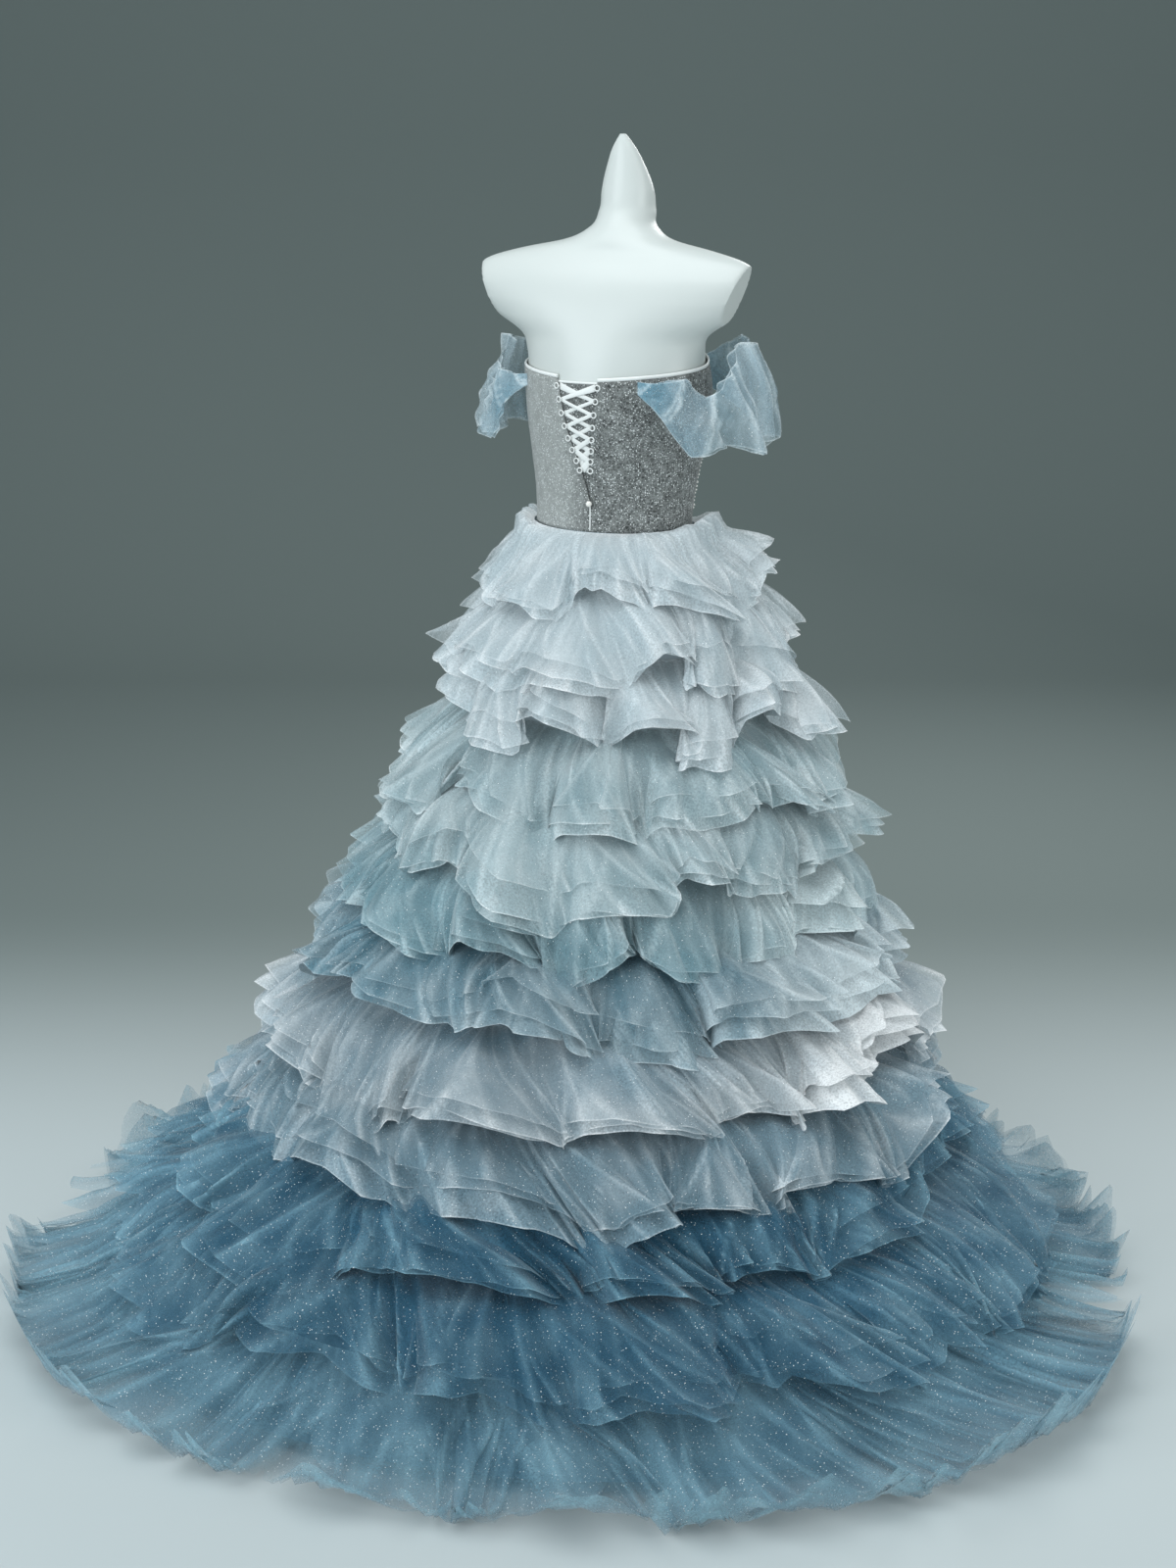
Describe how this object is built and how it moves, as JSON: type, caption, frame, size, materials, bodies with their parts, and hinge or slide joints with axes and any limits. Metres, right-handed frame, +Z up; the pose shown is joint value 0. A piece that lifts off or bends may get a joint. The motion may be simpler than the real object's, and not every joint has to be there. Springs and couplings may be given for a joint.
{
  "type": "tiered tulle gown on dress form",
  "caption": "Strapless laced bodice, off-shoulder tulle drapes and a full skirt of gathered tulle tiers with a short round train, on a limbless display form.",
  "frame": {"origin": "middle of the part's floor area, on the floor", "axes": "+Z up, the gown's front faces -Y and its train runs towards +Y, the wearer's left is +X"},
  "size_m": [1.6098, 1.5942, 1.634],
  "materials": {
    "form_gloss_white": "satin gloss white",
    "stand_steel": "brushed",
    "glitter_lace": "silver grey lace with glitter",
    "grey_satin": "matt satin",
    "white_satin": "satin",
    "pearl": "pearl gloss",
    "tulle_sleeve": "sheer net",
    "tulle_foundation": "net over lining",
    "tulle_ice": "sheer net",
    "tulle_aqua": "sheer net",
    "tulle_slate": "sheer net",
    "tulle_mid_blue": "sheer net",
    "tulle_silver": "sheer glitter net",
    "tulle_deep_blue": "sheer glitter net"
  },
  "bodies": {
    "root": {"bodice_back_left": "glitter_lace", "bodice_back_right": "glitter_lace", "bodice_binding": "white_satin", "bodice_front": "glitter_lace", "bodice_side_left": "glitter_lace", "bodice_side_right": "glitter_lace", "form_plate": "stand_steel", "form_pole": "stand_steel", "form_torso": "form_gloss_white", "lace_over": "white_satin", "lace_under": "white_satin", "modesty_panel": "grey_satin", "pearl_button": "pearl", "skirt_base": "tulle_foundation", "sleeve_left": "tulle_sleeve", "sleeve_right": "tulle_sleeve", "tier_01": "tulle_ice", "tier_02": "tulle_ice", "tier_03": "tulle_ice", "tier_04": "tulle_aqua", "tier_05": "tulle_aqua", "tier_06": "tulle_slate", "tier_07": "tulle_mid_blue", "tier_08": "tulle_silver", "tier_09": "tulle_silver", "tier_10": "tulle_deep_blue", "tier_11": "tulle_deep_blue", "tier_12": "tulle_deep_blue"}
  },
  "joints": []
}
